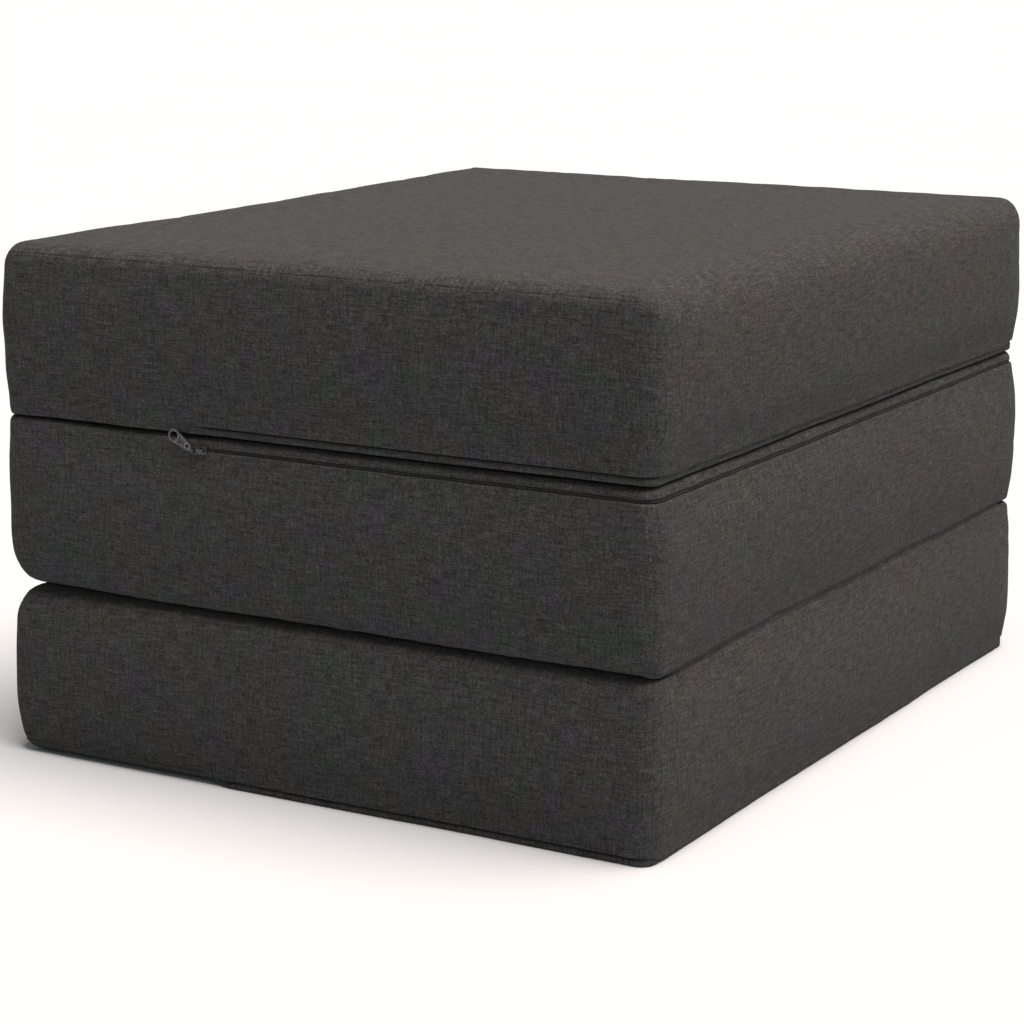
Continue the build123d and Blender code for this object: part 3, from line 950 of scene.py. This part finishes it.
def nylon(name, colour):
    """The satin nylon of a zip's coil."""
    m = Look(name)
    place3 = m.node("ShaderNodeTexCoord").outputs["Object"]
    grain = m.noise(place3, 900.0, 2.0, 0.5)
    dark = tuple(c * 0.8 for c in colour) + (1,)
    return m.set(Base_Color=m.mix(grain, dark, colour + (1,)),
                 Roughness=m.span(grain, 0.2, 0.8, 0.35, 0.5), Specular_IOR_Level=0.4)


def gunmetal(name):
    """Dark plated zinc, with a painted highlight of lighter grey along its edges."""
    m = Look(name)
    place3 = m.node("ShaderNodeTexCoord").outputs["Object"]
    cloud = m.noise(place3, 260.0, 3.0, 0.6)
    fine = m.noise(place3, 2400.0, 2.0, 0.6)
    colour = m.mix(m.span(cloud, 0.35, 0.7), (0.040, 0.040, 0.042, 1), (0.085, 0.085, 0.088, 1))
    rounded = m.node("ShaderNodeBevel", samples=6)
    rounded.inputs["Radius"].default_value = 0.5 * MM
    facing = m.node("ShaderNodeVectorMath", operation="DOT_PRODUCT")
    m.put(rounded.outputs["Normal"], facing.inputs[0])
    m.put(m.node("ShaderNodeNewGeometry").outputs["Normal"], facing.inputs[1])
    # painted highlight: lighter grey mixed into the colour along the edges that the bevel finds
    edge = m.span(facing.outputs["Value"], 0.99, 0.90)
    colour = m.mix(m.math("MULTIPLY", edge, 0.8), colour, (0.46, 0.46, 0.465, 1))
    return m.set(Base_Color=colour, Metallic=0.85, Roughness=m.span(fine, 0.3, 0.7, 0.34, 0.48),
                 Normal=m.bump(fine, 0.04 * MM, 0.4))


def seen_or_reflected(m):
    """1 for what the eye, a gloss or clear glass meets, 0 for light thrown on to the object."""
    path = m.node("ShaderNodeLightPath").outputs
    either = m.math("MAXIMUM", path["Is Camera Ray"], path["Is Glossy Ray"])
    return m.math("MAXIMUM", either, path["Is Transmission Ray"])


def pale_floor():
    """The pale floor, which throws back less light than it shows."""
    m = Look("pale_floor")
    place3 = m.node("ShaderNodeTexCoord").outputs["Object"]
    cloud = m.noise(place3, 0.8, 2.0, 0.5)
    shown = m.mix(cloud, (0.945, 0.962, 0.985, 1), (0.955, 0.972, 0.995, 1))
    colour = m.mix(seen_or_reflected(m), FLOOR_BOUNCE, shown)
    return m.set(Base_Color=colour, Roughness=0.9, Specular_IOR_Level=0.1)


def build_stage():
    """The floor, a hair under the object, which keeps the object's shadow."""
    far = 60.0
    corners = [(-far, -far, 0), (far, -far, 0), (far, far, 0), (-far, far, 0)]
    floor = mesh_object("floor", corners, [(0, 1, 2, 3)], [pale_floor()], flat=True)
    floor.location.z = -0.2 * MM


def build_sun():
    """One broad, warm lamp from above, leaning towards +X."""
    data = bpy.data.lights.new("key_sun", "SUN")
    data.energy = SUN_STRENGTH
    data.color = SUN_COLOUR
    data.angle = math.radians(SUN_ANGLE)
    sun = bpy.data.objects.new("key_sun", data)
    bpy.context.scene.collection.objects.link(sun)
    sun.location = SUN_PLACE
    towards = Vector(SUN_PLACE) - Vector(SUN_TARGET)
    sun.rotation_euler = towards.to_track_quat("Z", "Y").to_euler()


def build_world():
    """A weak, even light from all round, and pale grey where the sky itself is seen."""
    world = bpy.data.worlds.new("studio")
    bpy.context.scene.world = world
    world.use_nodes = True
    sky = Nodes(world.node_tree)
    fill = sky.tree.nodes["Background"]
    shown = sky.node("ShaderNodeBackground")
    for background, colour, strength in ((fill, SKY_FILL, SKY_STRENGTH), (shown, SKY_SHOWN, 1.0)):
        background.inputs[0].default_value = colour
        background.inputs[1].default_value = strength
    mixed = sky.node("ShaderNodeMixShader")
    for i, source in enumerate((seen_or_reflected(sky), fill.outputs[0], shown.outputs[0])):
        sky.put(source, mixed.inputs[i])
    sky.put(mixed.outputs[0], sky.tree.nodes["World Output"].inputs[0])


def build_camera():
    """The camera of the photo."""
    data = bpy.data.cameras.new("camera")
    data.sensor_width = SENSOR
    data.lens = LENS
    camera = bpy.data.objects.new("camera", data)
    bpy.context.scene.collection.objects.link(camera)
    camera.location = CAMERA_PLACE
    camera.rotation_euler = (math.radians(90 - CAMERA_DOWN), 0, math.radians(CAMERA_ROUND))
    bpy.context.scene.camera = camera


cloth = linen("heather_linen", tone=0.88)
tape = plain_cloth("zip_tape", (0.03, 0.03, 0.031))
coil = nylon("zip_coil", (0.045, 0.045, 0.047))
metal = gunmetal("gunmetal")

trees = {}
for name in SECTIONS:
    cushion = build_cushion(name, cloth, tape)
    trees[name] = BVHTree.FromPolygons([v.co for v in cushion.data.vertices],
                                       [tuple(p.vertices) for p in cushion.data.polygons])
    build_coils(name, coil)
    build_stops(name, metal)

build_hinge("lower_hinge", FOLD_X, THICK,
            ["base_hinge_flap", "middle_lower_hinge_flap"], reach=7 * MM, depth=1.4 * MM,
            trees=[trees["base"], trees["middle"]], cloth=cloth)
build_hinge("upper_hinge", -FOLD_X, 2 * THICK,
            ["middle_upper_hinge_flap", "top_hinge_flap"], reach=7.5 * MM, depth=1.6 * MM,
            trees=[trees["middle"], trees["top"]], cloth=cloth)

for node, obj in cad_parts.items():
    if node.endswith(("zip_slider", "zip_bail", "zip_pull")):
        obj.data.materials.clear()
        obj.data.materials.append(metal)

build_stage()
build_sun()
build_world()
build_camera()
bpy.context.scene.view_settings.view_transform = "Standard"
